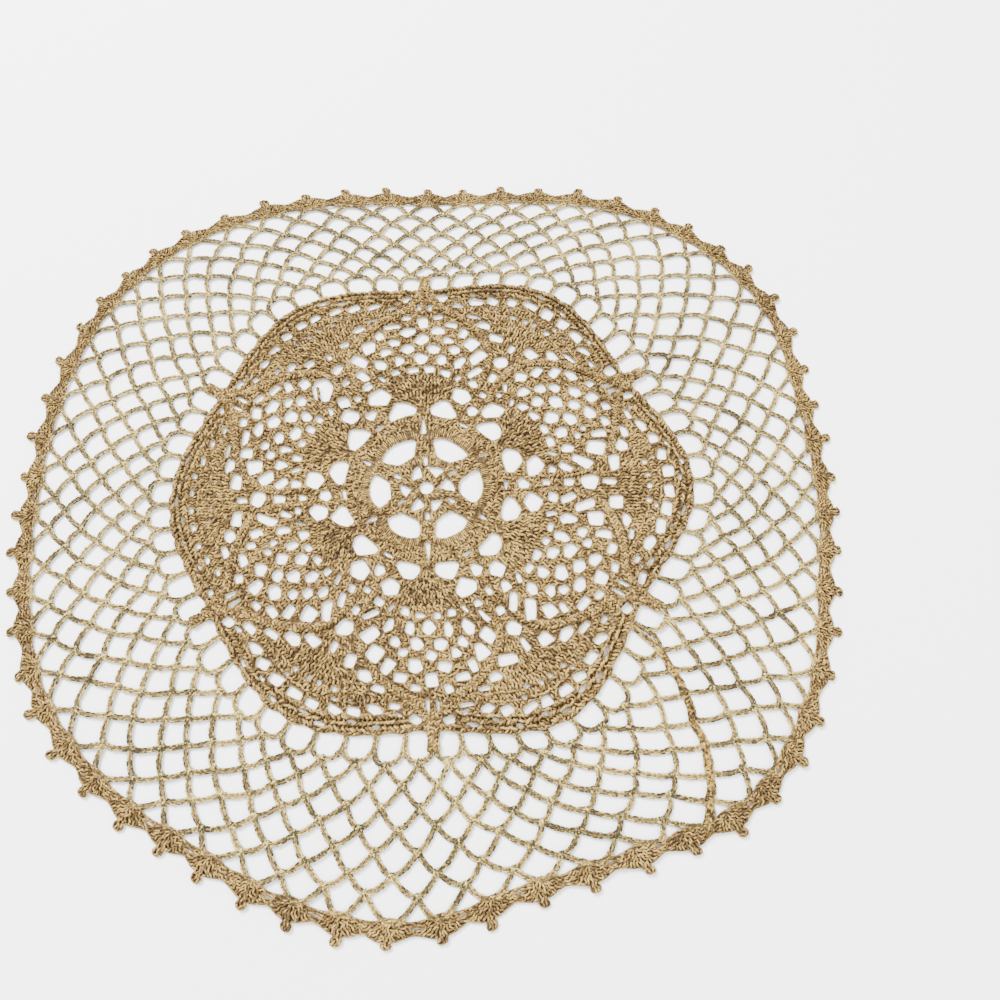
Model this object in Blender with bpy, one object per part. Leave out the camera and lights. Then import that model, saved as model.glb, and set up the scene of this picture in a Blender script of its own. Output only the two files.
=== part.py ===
"""A round lace doily in thread crochet, lying flat, as one solid.

From the middle out it has a rose of six petals, fans and pineapples inside a ribbed rim of six lobes, then a
net of chain loops, then a dense border with picots. The even six-fold pattern is charted first, as angles and
shares of the rose's radius. Two short tables then say how the real, hand-laid doily departs from it.

Metres, +Z up. The underside is flat at z = 0 and the origin is the middle of the part's box there.
"""

import math
import random

import bmesh
import bpy

# Driving sizes, in metres.
ROSE_RADIUS = 0.078  # middle of the rose to a notch of its rim; radii given as shares are shares of this
ROSE_THICKNESS = 0.0024
NET_THICKNESS = 0.0016
BORDER_THICKNESS = 0.0026
BORDER_WIDTH = 0.0050
NET_CORD = 0.0036  # what is left between two gaps of the net
PICOT_LENGTH = 0.0038
PICOT_WIDTH = 0.0050  # at its root
SCALLOP_DEPTH = 0.0010  # how far the border dips between two picots

# The pattern.
REPEATS = 6  # fans, at 30, 90, 150 ... degrees, with the rim's lobes between them
PICOTS = 60
NET_COLUMNS = 35  # the real net has 60 loops a round, so this is 1.7 times its pitch
NET_DIAMOND_ROWS = 3
POST_SHARE = 0.16  # the posts on the rim take this share of the net's width
RIM_MEAN = 1.085  # outer radius of the even rim, as a share
RIM_LOBE = 0.055
HUB_HOLE = 0.0052  # across
HUB_SIDES = 8
WINDOW = {"radius": 0.193, "width": 0.0122, "height": 0.0056, "sides": 8}
GAP_SIDES = 6

# Gaps of one repeat that are over 4 mm: angle from the fan's axis (degrees), radius (share), width along the
# round, height across it (metres), tilt (degrees). A gap off the axis has its mirror image on the other side.
GAPS = [
    # angle, radius, width, height, tilt
    (13.5, 0.385, 0.0084, 0.0054, 0),  # beside the fan's foot
    (20.5, 0.470, 0.0056, 0.0050, 20),  # beside the fan
    (21.6, 0.686, 0.0041, 0.0060, 25),  # between mesh and shells
    (17.3, 0.750, 0.0046, 0.0045, 15),
    (12.9, 0.798, 0.0046, 0.0040, 0),
    (12.0, 0.668, 0.0040, 0.0042, 0),  # mesh of the pineapple, four loops wide
    (4.0, 0.672, 0.0040, 0.0042, 0),
    (8.7, 0.722, 0.0044, 0.0042, 0),  # three
    (0.0, 0.727, 0.0046, 0.0042, 0),
    (4.3, 0.778, 0.0043, 0.0042, 0),  # two
]

# How the rose lies, every 30 degrees round from +X: its turn halfway out and at the rim (degrees), its
# stretch, and the outer radius of the rim (share).
LAY = [
    # turn, rim_turn, stretch, rim
    (2.6, 1.9, 0.99, 1.155),
    (2.8, 0.8, 1.03, 1.045),
    (3.0, 1.0, 0.98, 1.140),
    (4.5, 2.3, 1.03, 1.020),
    (6.5, 4.6, 1.03, 1.120),
    (5.8, 4.0, 1.03, 1.045),
    (4.7, 4.0, 1.02, 1.100),
    (2.7, 2.5, 0.96, 1.030),
    (3.5, 3.0, 0.97, 1.100),
    (2.6, 3.3, 0.98, 1.020),
    (1.0, 1.5, 1.01, 1.135),
    (0.8, 1.5, 0.98, 1.030),
]
RIM_STARTS = 0.55  # share of the rose's radius where the rim's own turn and reach set in

# Outer radius of the border (share), every 15 degrees round from +X.
EDGE = [
    *(1.740, 1.770, 1.865, 1.865, 1.790, 1.665),
    *(1.595, 1.645, 1.745, 1.825, 1.830, 1.770),
    *(1.730, 1.740, 1.770, 1.745, 1.705, 1.730),
    *(1.745, 1.675, 1.720, 1.840, 1.820, 1.750),
]

COTTON = {"color": (0.40, 0.27, 0.13, 1.0), "roughness": 0.9}


def around(values, angle):
    """The value at an angle, on a smooth closed curve through values spaced evenly round the circle."""
    place = angle / 360 * len(values)
    first = math.floor(place)
    t = place - first
    a, b, c, d = (values[(first + k) % len(values)] for k in (-1, 0, 1, 2))
    return b + t / 2 * (c - a + t * (2 * a - 5 * b + 4 * c - d + t * (3 * (b - c) + d - a)))


def eased(t):
    """0 below 0, 1 above 1, and a soft step between."""
    t = min(max(t, 0.0), 1.0)
    return t * t * (3 - 2 * t)


def polar(angle, radius):
    turn = math.radians(angle)
    return radius * math.cos(turn), radius * math.sin(turn)


def lie_of(angle):
    """The rose's lie in one direction of the even pattern: turn, rim_turn, stretch, rim."""
    return [around(column, angle) for column in zip(*LAY, strict=True)]


def lay_rose(angle, share):
    """Where a point of the even rose comes to lie, in metres."""
    turn, rim_turn, stretch, rim = lie_of(angle)
    even_rim = RIM_MEAN + RIM_LOBE * math.cos(math.radians(REPEATS * angle))
    rimward = eased((share - RIM_STARTS) / (even_rim - RIM_STARTS))
    reach = stretch + rimward * (rim / even_rim - stretch)
    return polar(angle + turn + rimward * (rim_turn - turn), share * reach * ROSE_RADIUS)


def rim_and_edge(angle):
    """The turned direction of the net there, and the radii of the rim and of the border's outer edge."""
    _, rim_turn, _, rim = lie_of(angle)
    turned = angle + rim_turn
    return turned, rim * ROSE_RADIUS, around(EDGE, turned) * ROSE_RADIUS


def lay_net(angle, share):
    """Where a point of the net comes to lie: share is 0 at the rim and 1 at the border's inner edge."""
    turned, rim, edge = rim_and_edge(angle)
    return polar(turned, rim + share * (edge - BORDER_WIDTH - rim))


def lay_edge(angle, beyond):
    """A point beyond the border's outer edge by that many metres."""
    turned, _, edge = rim_and_edge(angle)
    return polar(turned, edge + beyond)


def inset(corners, distance):
    """A convex outline, counter-clockwise, drawn in by a distance."""
    lines = []
    for (x0, y0), (x1, y1) in zip(corners, corners[1:] + corners[:1], strict=True):
        length = math.hypot(x1 - x0, y1 - y0)
        nx, ny = (y0 - y1) / length, (x1 - x0) / length
        lines.append((nx, ny, nx * x0 + ny * y0 + distance))
    drawn_in = []
    for (a, b, c), (d, e, f) in zip(lines[-1:] + lines[:-1], lines, strict=True):
        det = a * e - b * d
        drawn_in.append(((c * e - b * f) / det, (a * f - c * d) / det))
    return drawn_in


def blunted(corners, which, share):
    """The outline with one of its corners cut off, at a share of the sides that meet there."""
    before, at, after = corners[which - 1], corners[which], corners[(which + 1) % len(corners)]
    cut = [tuple(p + share * (q - p) for p, q in zip(at, end, strict=True)) for end in (before, after)]
    return corners[:which] + cut + corners[which + 1 :]


def rose_gap(axis, angle, share, width, height, tilt, sides):
    """A rounded gap of the rose: a polygon about a point of the even pattern, bent along the round."""
    points = []
    for k in range(sides):
        step = 2 * math.pi * (k + 0.5) / sides
        grow = 1 / math.cos(math.pi / sides)
        u, v = grow * width / 2 * math.cos(step), height / 2 * math.sin(step) * grow
        lean = math.radians(tilt)
        along = u * math.cos(lean) - v * math.sin(lean)
        out = u * math.sin(lean) + v * math.cos(lean)
        bent = math.degrees(along / (share * ROSE_RADIUS))
        points.append(lay_rose(axis + angle - bent, share + out / ROSE_RADIUS))
    return points


def rose_gaps():
    gaps = [[polar(360 * k / HUB_SIDES, HUB_HOLE / 2) for k in range(HUB_SIDES)]]
    for repeat in range(REPEATS):
        lobe = repeat * 360 / REPEATS
        fan = lobe + 180 / REPEATS
        gaps.append(rose_gap(lobe, 0, WINDOW["radius"], WINDOW["width"], WINDOW["height"], 0, WINDOW["sides"]))
        for angle, share, width, height, tilt in GAPS:
            for side in (1, -1) if angle else (1,):
                gaps.append(rose_gap(fan, side * angle, share, width, height, side * tilt, GAP_SIDES))
    return gaps


def net_gaps():
    """Rows of gaps from the rim out: one with straight posts, some of diamonds, and half ones at the border."""
    half = 180 / NET_COLUMNS
    step = (1 - POST_SHARE) / (NET_DIAMOND_ROWS + 1)
    levels = [POST_SHARE + k * step for k in range(NET_DIAMOND_ROWS + 2)]
    gaps = []
    for column in range(NET_COLUMNS):
        middle = 2 * half * column
        left, right = middle + half, middle - half
        house = [(right, 0), (right, levels[0]), (middle, levels[1]), (left, levels[0]), (left, 0)]
        gaps.append(blunted(inset([lay_net(*p) for p in house], NET_CORD / 2), 2, 0.3))
        for row in range(NET_DIAMOND_ROWS):
            at = middle + half * (row % 2 + 1)
            low, centre, high = levels[row : row + 3]
            diamond = [(at, low), (at - half, centre), (at, high), (at + half, centre)]
            drawn = inset([lay_net(*p) for p in diamond], NET_CORD / 2)
            gaps.append(blunted(blunted(drawn, 2, 0.3), 0, 0.12))
        at = middle + half * (NET_DIAMOND_ROWS % 2 + 1)
        last = [(at, levels[-2]), (at - half, 1), (at + half, 1)]
        drawn = inset([lay_net(*p) for p in last], NET_CORD / 2)
        gaps.append(blunted(blunted(drawn, 2, 0.15), 1, 0.15))
    return gaps


def border_outline():
    """The outer edge: a shallow scallop and a blunt picot for each loop of the net, no two quite alike."""
    hand = random.Random(60)
    pitch = 360 / PICOTS
    wide = math.degrees(PICOT_WIDTH / 2 / (sum(EDGE) / len(EDGE) * ROSE_RADIUS))
    outline = []
    for k in range(PICOTS):
        at = pitch * k + hand.uniform(-0.5, 0.5)
        long = PICOT_LENGTH * hand.uniform(0.75, 1.1)
        outline.append(lay_edge(pitch * (k - 0.5), -SCALLOP_DEPTH))
        for turn, beyond in ((-wide, 0), (-wide * 0.35, long), (wide * 0.35, long), (wide, 0)):
            outline.append(lay_edge(at + turn, beyond))
    return outline


def box_middle(points):
    xs, ys = zip(*points, strict=True)
    return (min(xs) + max(xs)) / 2, (min(ys) + max(ys)) / 2


def thickness_at(x, y):
    """How thick the crochet is at a point of the laid pattern."""
    turned = math.degrees(math.atan2(y, x))
    rim = around([row[3] for row in LAY], turned) * ROSE_RADIUS
    edge = around(EDGE, turned) * ROSE_RADIUS
    radius = math.hypot(x, y)
    if radius < rim:
        return ROSE_THICKNESS
    return BORDER_THICKNESS if radius > edge - BORDER_WIDTH * 0.9 else NET_THICKNESS


def flat_outline(name, loops):
    """A filled 2D curve through closed loops of points, the first one outside and the others as gaps."""
    curve = bpy.data.curves.new(name, "CURVE")
    curve.dimensions = "2D"
    curve.fill_mode = "BOTH"
    curve.extrude = ROSE_THICKNESS / 2
    for loop in loops:
        spline = curve.splines.new("POLY")
        spline.points.add(len(loop) - 1)
        for point, (x, y) in zip(spline.points, loop, strict=True):
            point.co = (x, y, 0, 1)
        spline.use_cyclic_u = True
    return bpy.data.objects.new(name, curve)


def cotton_material():
    material = bpy.data.materials.new("crocheted_cotton")
    material.use_nodes = True
    surface = material.node_tree.nodes["Principled BSDF"]
    surface.inputs["Base Color"].default_value = COTTON["color"]
    surface.inputs["Roughness"].default_value = COTTON["roughness"]
    surface.inputs["Metallic"].default_value = 0.0
    return material


def build_doily(collection):
    outline = border_outline()
    drawn = flat_outline("doily_outline", [outline, *rose_gaps(), *net_gaps()])
    collection.objects.link(drawn)
    bpy.context.view_layer.update()
    mesh = bpy.data.meshes.new_from_object(drawn.evaluated_get(bpy.context.evaluated_depsgraph_get()))
    solid = bpy.data.objects.new("doily", mesh)
    solid.matrix_world = drawn.matrix_world
    collection.objects.link(solid)
    bpy.data.objects.remove(drawn)

    middle_x, middle_y = box_middle(outline)
    bm = bmesh.new()
    bm.from_mesh(mesh)
    bmesh.ops.remove_doubles(bm, verts=bm.verts, dist=1e-6)
    for vertex in bm.verts:
        x, y, z = vertex.co
        vertex.co = (x - middle_x, y - middle_y, thickness_at(x, y) if z > 0 else 0)
    bmesh.ops.triangulate(bm, faces=bm.faces)
    bmesh.ops.recalc_face_normals(bm, faces=bm.faces)
    bm.to_mesh(mesh)
    bm.free()
    mesh.materials.clear()
    mesh.materials.append(cotton_material())
    return solid


def main():
    for old in list(bpy.data.objects):
        bpy.data.objects.remove(old, do_unlink=True)
    parts = bpy.data.collections.new("lace_doily")
    bpy.context.scene.collection.children.link(parts)
    build_doily(parts)


main()
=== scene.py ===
# %% [markdown]
# # A crocheted doily, stitch by stitch
#
# The real thing is one cotton thread, hooked in rounds from the middle outwards: a rose of petals, fans and
# pineapple mesh inside a ribbed rim, then a net of chain loops and a dense border with picots. Thread work
# could be faked with a bump map on a flat sheet, but its edges and holes are what the eye reads. So this
# lesson lays the thread itself. A few stitches are charted as short routes, and loops repeat them.

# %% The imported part
import math
import random

import bmesh
import bpy
import numpy as np
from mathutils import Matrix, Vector
from mathutils.bvhtree import BVHTree


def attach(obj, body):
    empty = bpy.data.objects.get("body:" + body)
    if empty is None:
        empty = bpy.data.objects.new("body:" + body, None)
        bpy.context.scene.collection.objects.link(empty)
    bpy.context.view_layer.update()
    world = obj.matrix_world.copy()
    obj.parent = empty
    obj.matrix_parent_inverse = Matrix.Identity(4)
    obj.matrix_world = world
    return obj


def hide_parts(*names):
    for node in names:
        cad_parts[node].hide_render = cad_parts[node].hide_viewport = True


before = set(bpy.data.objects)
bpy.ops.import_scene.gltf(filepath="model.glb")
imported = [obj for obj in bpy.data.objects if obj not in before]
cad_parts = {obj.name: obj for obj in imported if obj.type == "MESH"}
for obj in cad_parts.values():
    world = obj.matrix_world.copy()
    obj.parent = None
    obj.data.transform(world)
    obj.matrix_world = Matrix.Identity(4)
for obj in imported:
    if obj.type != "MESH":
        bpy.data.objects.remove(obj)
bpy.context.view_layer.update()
MM = 0.001

# %% [markdown]
# ## How the doily lies
#
# A crocheter's chart is evenly six-fold, but the real doily was laid by hand and pulled out of true. The
# pattern is therefore charted even, in degrees and in shares of the rose's radius, and two tables say how
# each direction departs from it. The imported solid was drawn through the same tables, so both agree.

# %% The even pattern and the real lie
ROSE = 78 * MM  # middle of the rose to a notch of its rim
ROSE_MIDDLE = np.array([-0.11, 5.59]) * MM  # the part's origin is the middle of its box
REPEATS = 6
LOOPS = 60  # loops in each round of the net
RIM_MEAN = 1.085  # the rim's outer radius, as a share of ROSE
RIM_LOBE = 0.055  # how far lobes stand out from that, and notches in
RIM_STARTS = 0.55  # the share where the rim's own turn and reach begin to take over
BORDER_WIDTH = 5.0 * MM
LOBES = [60 * k for k in range(REPEATS)]
FANS = [60 * k + 30 for k in range(REPEATS)]

LAY = np.array([
    # turn, rim_turn, edge_turn, stretch, rim: every 30 degrees round from +X
    (2.6, 1.9, 0.0, 0.99, 1.155),
    (2.8, 0.8, 0.3, 1.03, 1.045),
    (3.0, 1.0, -1.0, 0.98, 1.140),
    (4.5, 2.3, -0.6, 1.03, 1.020),
    (6.5, 4.6, 1.2, 1.03, 1.120),
    (5.8, 4.0, 0.0, 1.03, 1.045),
    (4.7, 4.0, 0.0, 1.02, 1.100),
    (2.7, 2.5, 0.0, 0.96, 1.030),
    (3.5, 3.0, 0.0, 0.97, 1.100),
    (2.6, 3.3, 0.3, 0.98, 1.020),
    (1.0, 1.5, 4.0, 1.01, 1.135),
    (0.8, 1.5, 2.0, 0.98, 1.030),
])

# Outer radius of the border as a share, every 15 degrees round from +X.
EDGE = np.array([
    *(1.740, 1.770, 1.865, 1.865, 1.790, 1.665),
    *(1.595, 1.645, 1.745, 1.825, 1.830, 1.770),
    *(1.730, 1.740, 1.770, 1.745, 1.705, 1.730),
    *(1.745, 1.675, 1.720, 1.840, 1.820, 1.750),
])

vary = np.random.default_rng(1893)


def between(a, b, c, d, t):
    """Values a part t of the way from b to c, on a smooth curve that also runs through a and d."""
    return b + t / 2 * (c - a + t * (2 * a - 5 * b + 4 * c - d + t * (3 * (b - c) + d - a)))


def around(values, angle):
    """The value at each angle, on a smooth closed curve through values spaced evenly round the circle."""
    place = np.asarray(angle, float) / 360 * len(values)
    first = np.floor(place).astype(int)
    return between(*(values[(first + k) % len(values)] for k in (-1, 0, 1, 2)), place - first)


def polar(angle, radius):
    """Points of the part from directions in degrees and distances from the rose's middle."""
    turn = np.radians(angle)
    return np.stack((radius * np.cos(turn), radius * np.sin(turn)), -1) + ROSE_MIDDLE


def rim_share(angle):
    """The even rim's outer radius, which has a lobe between each pair of fans."""
    return RIM_MEAN + RIM_LOBE * np.cos(np.radians(REPEATS * np.asarray(angle, float)))


def from_notch(angle):
    """Degrees to the nearest notch, which lies on a fan's axis."""
    return np.abs(angle % 60 - 30)


def lay_rose(angle, share):
    """Where points of the even rose come to lie."""
    turn, rim_turn, _, stretch, rim = (around(column, angle) for column in LAY.T)
    even_rim = rim_share(angle)
    t = np.clip((share - RIM_STARTS) / (even_rim - RIM_STARTS), 0, 1)
    rimward = t * t * (3 - 2 * t)
    reach = stretch + rimward * (rim / even_rim - stretch)
    return polar(angle + turn + rimward * (rim_turn - turn), share * reach * ROSE)


def lay_net(angle, level, beyond=0.0):
    """Where points of the net lie: level 0 at the rim, 1 at the border, and beyond that in metres."""
    _, rim_turn, edge_turn, _, rim = (around(column, angle) for column in LAY.T)
    laid = angle + rim_turn + edge_turn * np.clip(level, 0, 1.1)
    edge = around(EDGE, laid) * ROSE
    return polar(laid, rim * ROSE + level * (edge - BORDER_WIDTH - rim * ROSE) + beyond)


print("lobe at +X reaches", lay_rose(0, rim_share(0)), "and the border", lay_net(0, 1, BORDER_WIDTH))

# %% [markdown]
# ## Lines to lay the thread along
#
# A round or a loop is charted with a few points. These helpers run a smooth line through them, place points
# along it at a pitch, and step off to its side, as most cords have a strand on each side of their middle.

# %% Lines


def smooth(points, per=5):
    """More points on a smooth curve through a few."""
    points = np.asarray(points, float)
    padded = np.concatenate((2 * points[:1] - points[1:2], points, 2 * points[-1:] - points[-2:-1]))
    t = np.linspace(0, 1, per, endpoint=False)[:, None]
    spans = zip(padded, padded[1:], padded[2:], padded[3:], strict=False)
    return np.concatenate([*(between(*span, t) for span in spans), points[-1:]])


def length_of(line):
    """How long a line is."""
    return np.hypot(*np.diff(line, axis=0).T).sum()


def run_of(line):
    """How far along a line each of its points is."""
    return np.concatenate(([0], np.cumsum(np.hypot(*np.diff(line, axis=0).T))))


def resampled(line, pitch):
    """Points at about a pitch along a line, its ends included."""
    run = run_of(line)
    at = np.linspace(0, run[-1], max(round(run[-1] / pitch), 2) + 1)
    return np.column_stack([np.interp(at, run, column) for column in line.T])


def follow(line, places, across, up):
    """Points beside a line: distances along it, offsets to its left, and heights."""
    run = run_of(line)
    slope = np.gradient(line, run, axis=0)
    slope /= np.hypot(*slope.T)[:, None]
    inside = np.clip(places, 0, run[-1])
    over = places - inside
    x, y, dx, dy = (np.interp(inside, run, column) for column in (*line.T, *slope.T))
    return np.stack((x + over * dx - across * dy, y + over * dy + across * dx, up), -1)


whole_turn = np.arange(361.0)
print(f"once round the rim is {length_of(lay_rose(whole_turn, rim_share(whole_turn))):.3f} m")

# %% [markdown]
# ## The camera
#
# The photograph looks down on the doily from the front at 68 degrees, near enough for its far side to
# shrink. The camera is placed from those facts: an aim point beside the rose's middle, a distance and a lens.

# %% Camera
ELEVATION = math.radians(68)
CAMERA_DISTANCE = 285.5 * MM
AIM = ROSE_MIDDLE + np.array([24.73, -4.00]) * MM
LENS = 30.6  # on Blender's 36 mm sensor

camera = bpy.data.objects.new("camera", bpy.data.cameras.new("camera"))
camera.data.lens = LENS
camera.data.clip_start = 0.01
camera.location = (
    AIM[0],
    AIM[1] - CAMERA_DISTANCE * math.cos(ELEVATION),
    CAMERA_DISTANCE * math.sin(ELEVATION),
)
camera.rotation_euler = (math.pi / 2 - ELEVATION, 0, 0)
bpy.context.scene.collection.objects.link(camera)
bpy.context.scene.camera = camera
print("camera at", tuple(round(v, 3) for v in camera.location))

# %% [markdown]
# ## From routes to a mesh
#
# A curve object with a bevel turns a route into a tube, which is exactly what a thread is. It is then made a
# mesh. Its ends are drawn to a point and merged, so every tube is closed, and a UV map gives the material
# the way round the thread and the distance along it. Cotton never lies quite flat, so a slow swell lifts it.

# %% Thread to mesh
THREAD = 0.54 * MM
SIDES = 4  # of the thread's section
TIP = 0.12 * MM  # from a thread's end to the point that closes it
TONE_RUN = 5  # points of a route that share a tone
MERGED = 1e-7  # points nearer than this, in metres, become one
SWELL = 0.5 * MM
SWELL_X = 17 * MM  # its waves are 2 pi times as long
SWELL_Y = 13 * MM


def swell(x, y):
    """How far the cotton stands off the table at a place."""
    return SWELL * (0.5 + 0.5 * np.sin(x / SWELL_X + 0.6) * np.cos(y / SWELL_Y - 0.4))


def swollen(mesh):
    """Adds the swell to a mesh, and keeps each point's height in the fabric, by which the material paints
    shade.
    """
    places = np.empty(len(mesh.vertices) * 3)
    mesh.vertices.foreach_get("co", places)
    places = places.reshape(-1, 3)
    mesh.attributes.new("height", "FLOAT", "POINT").data.foreach_set("value", places[:, 2] / MM)
    places[:, 2] += swell(places[:, 0], places[:, 1])
    mesh.vertices.foreach_set("co", places.ravel())
    mesh.update()


def drawn_to_points(points, fat):
    """The route with a point beyond each end, where the thickness falls to nothing."""
    first, last = points[0] - points[1], points[-1] - points[-2]
    first = first * (TIP / np.linalg.norm(first))
    last = last * (TIP / np.linalg.norm(last))
    points = np.concatenate(([points[0] + first], points, [points[-1] + last]))
    radius = np.full(len(points), fat)
    radius[[0, -1]] = 0
    return points, radius


def map_thread(mesh, routes):
    """A UV map in turns round the thread and millimetres along it, and a tone for each stitch."""
    tones = []
    for points, _ in routes:
        shades = vary.random(len(points) // TONE_RUN + 1)
        tones.append(np.repeat(shades, TONE_RUN * SIDES)[: len(points) * SIDES])
    mesh.attributes.new("tone", "FLOAT", "POINT").data.foreach_set("value", np.concatenate(tones))
    along = []
    for points, _ in routes:
        steps = np.linalg.norm(np.diff(points, axis=0), axis=1)
        along.append((np.concatenate(([0], np.cumsum(steps))) / MM) + vary.uniform(0, 50))
    along = np.repeat(np.concatenate(along), SIDES)
    turn = np.tile(np.arange(SIDES) / SIDES, len(along) // SIDES)
    corners = np.empty(len(mesh.loops), int)
    mesh.loops.foreach_get("vertex_index", corners)
    u = turn[corners].reshape(-1, 4)  # every face has four corners
    # The last side of the tube ends at a full turn, not back at none.
    u = np.where((u.max(1, keepdims=True) > 0.7) & (u < 0.1), 1.0, u)
    uv = np.column_stack((u.ravel(), along[corners]))
    mesh.uv_layers.new(name="thread").data.foreach_set("uv", uv.ravel())


def add_route(curve, points):
    """A new run of a curve, straight from point to point."""
    spline = curve.splines.new("POLY")
    spline.points.add(len(points) - 1)
    spline.points.foreach_set("co", np.column_stack((points, np.ones(len(points)))).ravel())
    return spline


def thread_mesh(routes):
    """One mesh of thread from many routes, each a run of points and a thickness."""
    routes = [drawn_to_points(points, fat) for points, fat in routes]
    curve = bpy.data.curves.new("thread", "CURVE")
    curve.dimensions = "3D"
    curve.bevel_depth = THREAD / 2
    curve.bevel_resolution = 0
    for points, radius in routes:
        add_route(curve, points).points.foreach_set("radius", radius)
    mesh = mesh_of(curve)
    map_thread(mesh, routes)
    return mesh


def mesh_of(curve):
    """The mesh that a curve makes. The curve itself goes."""
    drawn = bpy.data.objects.new("route", curve)
    bpy.context.scene.collection.objects.link(drawn)
    bpy.context.view_layer.update()
    mesh = bpy.data.meshes.new_from_object(drawn.evaluated_get(bpy.context.evaluated_depsgraph_get()))
    bpy.data.objects.remove(drawn)
    bpy.data.curves.remove(curve)
    return mesh


def piece_of(name, routes, *grounds):
    """A piece of flat meshes and thread, with double points merged, the swell added and its faces smooth."""
    meshes = [*grounds, thread_mesh(routes)]
    bm = bmesh.new()
    for mesh in meshes:
        bm.from_mesh(mesh)
    bmesh.ops.remove_doubles(bm, verts=bm.verts, dist=MERGED)
    for face in bm.faces:
        face.smooth = True
    mesh, *spare = meshes
    mesh.name = name
    bm.to_mesh(mesh)
    bm.free()
    for other in spare:
        bpy.data.meshes.remove(other)
    swollen(mesh)
    piece = bpy.data.objects.new(name, mesh)
    bpy.context.scene.collection.objects.link(piece)
    triangles = sum(len(face.vertices) - 2 for face in mesh.polygons)
    heights = [vertex.co.z / MM for vertex in mesh.vertices]
    print(f"{name}: {triangles} triangles, {min(heights):.2f} to {max(heights):.2f} mm high")
    return piece


# %% [markdown]
# ## Where the rose is open
#
# What the eye reads first is where the cotton is and where it isn't. One repeat's gaps were measured in the
# photograph, against the fan's axis or the lobe's, and written down as a chart. Loops mirror it and repeat
# it six times. The laid cloth was pulled harder in some directions, so a share for each repeat opens or
# closes its gaps, and each gap comes out a little different besides, as each stitch did.

# %% Chart of the gaps
CHART = [
    # degrees from the fan's axis, share, width, height (mm), lean (degrees), corners
    (20.5, 0.475, 5.8, 5.2, 20, 5),  # beside the fan
    (23.4, 0.553, 3.5, 3.3, 15, 4),  # between the fan or its mesh and the shells
    (23.2, 0.617, 2.8, 6.2, 34, 4),
    (21.2, 0.690, 3.6, 6.4, 32, 4),
    (17.3, 0.750, 4.6, 5.4, 12, 4),
    (13.0, 0.792, 3.0, 4.4, 12, 4),
    (9.2, 0.835, 4.6, 2.3, 0, 4),
    (0.0, 0.838, 4.2, 4.4, 10, 4),  # the tip of the pineapple
    (4.6, 0.872, 2.6, 2.0, 0, 4),
    (3.6, 0.573, 2.6, 2.1, 0, 4),  # mesh, on the fan's top
    (10.4, 0.570, 2.6, 2.3, 0, 4),
    (16.2, 0.562, 0.9, 2.6, 25, 4),
    (0.0, 0.628, 3.8, 4.0, 0, 5),
    (7.9, 0.633, 3.0, 4.2, 0, 5),
    (15.4, 0.635, 3.0, 4.4, 10, 5),
    (4.3, 0.690, 4.3, 3.8, 0, 5),
    (12.0, 0.695, 4.2, 4.1, 0, 5),
    (0.0, 0.742, 4.1, 3.6, 0, 5),
    (9.0, 0.738, 4.1, 3.6, 0, 5),
    (4.6, 0.787, 4.7, 3.5, 0, 5),
    (23.7, 0.822, 4.2, 3.1, 0, 4),  # between the ribs and the lobe's fan
    (18.7, 0.865, 4.4, 2.7, 0, 5),
    (14.2, 0.898, 3.8, 1.5, 0, 4),
    (27.65, 1.041, 4.0, 2.7, 0, 4),  # the ladder
    (22.9, 1.028, 4.2, 2.7, 0, 4),
    (18.2, 1.006, 4.2, 2.6, 0, 4),
    (13.5, 0.978, 4.6, 2.3, 0, 5),
    (8.8, 0.943, 4.0, 2.0, 0, 4),
    (1.2, 0.930, 1.0, 3.0, 0, 4),  # the notch: slits in its column, holes beside it
    (4.2, 0.988, 3.2, 2.5, 10, 4),
    (7.7, 0.972, 2.4, 1.0, 10, 4),
    (28.4, 0.957, 1.1, 1.5, 0, 4),  # pinholes of the lobe's fan
    (24.7, 0.952, 1.5, 1.3, 0, 4),
    (23.4, 0.985, 1.3, 1.0, 0, 4),
    (20.2, 0.971, 0.9, 0.7, 0, 4),
    (30.0, 0.347, 3.4, 0.9, 0, 4),  # on the lobe's axis, up the column of shells
    (30.0, 0.425, 3.3, 3.2, 0, 5),
    (30.0, 0.525, 1.8, 2.2, 0, 4),
    (30.0, 0.625, 2.4, 3.2, 0, 4),
    (30.0, 0.712, 4.3, 4.3, 0, 6),
    (30.0, 0.795, 1.6, 3.4, 0, 4),
    (30.0, 0.088, 3.2, 2.8, 0, 3),  # hub
    (0.0, 0.130, 1.1, 2.8, 0, 4),
]

# The largest gaps have shapes of their own: corners as degrees from the fan's axis and a share.
SHAPED = [
    [(5.2, 0.350), (13.0, 0.344), (21.5, 0.350), (23.0, 0.378), (15.0, 0.434), (8.5, 0.420), (3.8, 0.386)],
    [
        *((9.0, 0.234), (19.0, 0.246), (30.0, 0.249), (41.0, 0.246), (51.0, 0.234)),
        *((51.5, 0.202), (44.5, 0.152), (30.0, 0.144), (15.5, 0.152), (8.5, 0.202)),
    ],
]
PETAL_SLIT = np.array([(-4.0, 0.252), (4.0, 0.252), (0.6, 0.352)])  # between two petals

# How far the pull of the laid cloth opened or closed the gaps, for each fan and each lobe round from +X.
SLIT_OPEN = [0.60, 1.05, 0.70, 0.75, 1.05, 0.60]
PINEAPPLE_OPEN = [1.14, 1.04, 1.18, 1.24, 1.09, 1.24]
LOBE_OPEN = [1.10, 1.00, 0.80, 1.10, 1.10, 1.12]
LADDER_OPEN = [1.05, 1.16, 0.85, 0.55, 1.02, 0.97]
LADDER_FROM = 0.93  # share where the ladder's gaps begin
PULLED_FROM = 0.55  # nearer to the middle the gaps are alike in all repeats
print(len(CHART), "gaps in the chart of one repeat")

# %% Outline of a gap
STRAND = 0.32 * MM  # how far the strand that edges a gap reaches into it
GAP_GROWTH = 1.12  # makes up for what the rounding cuts off


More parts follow.
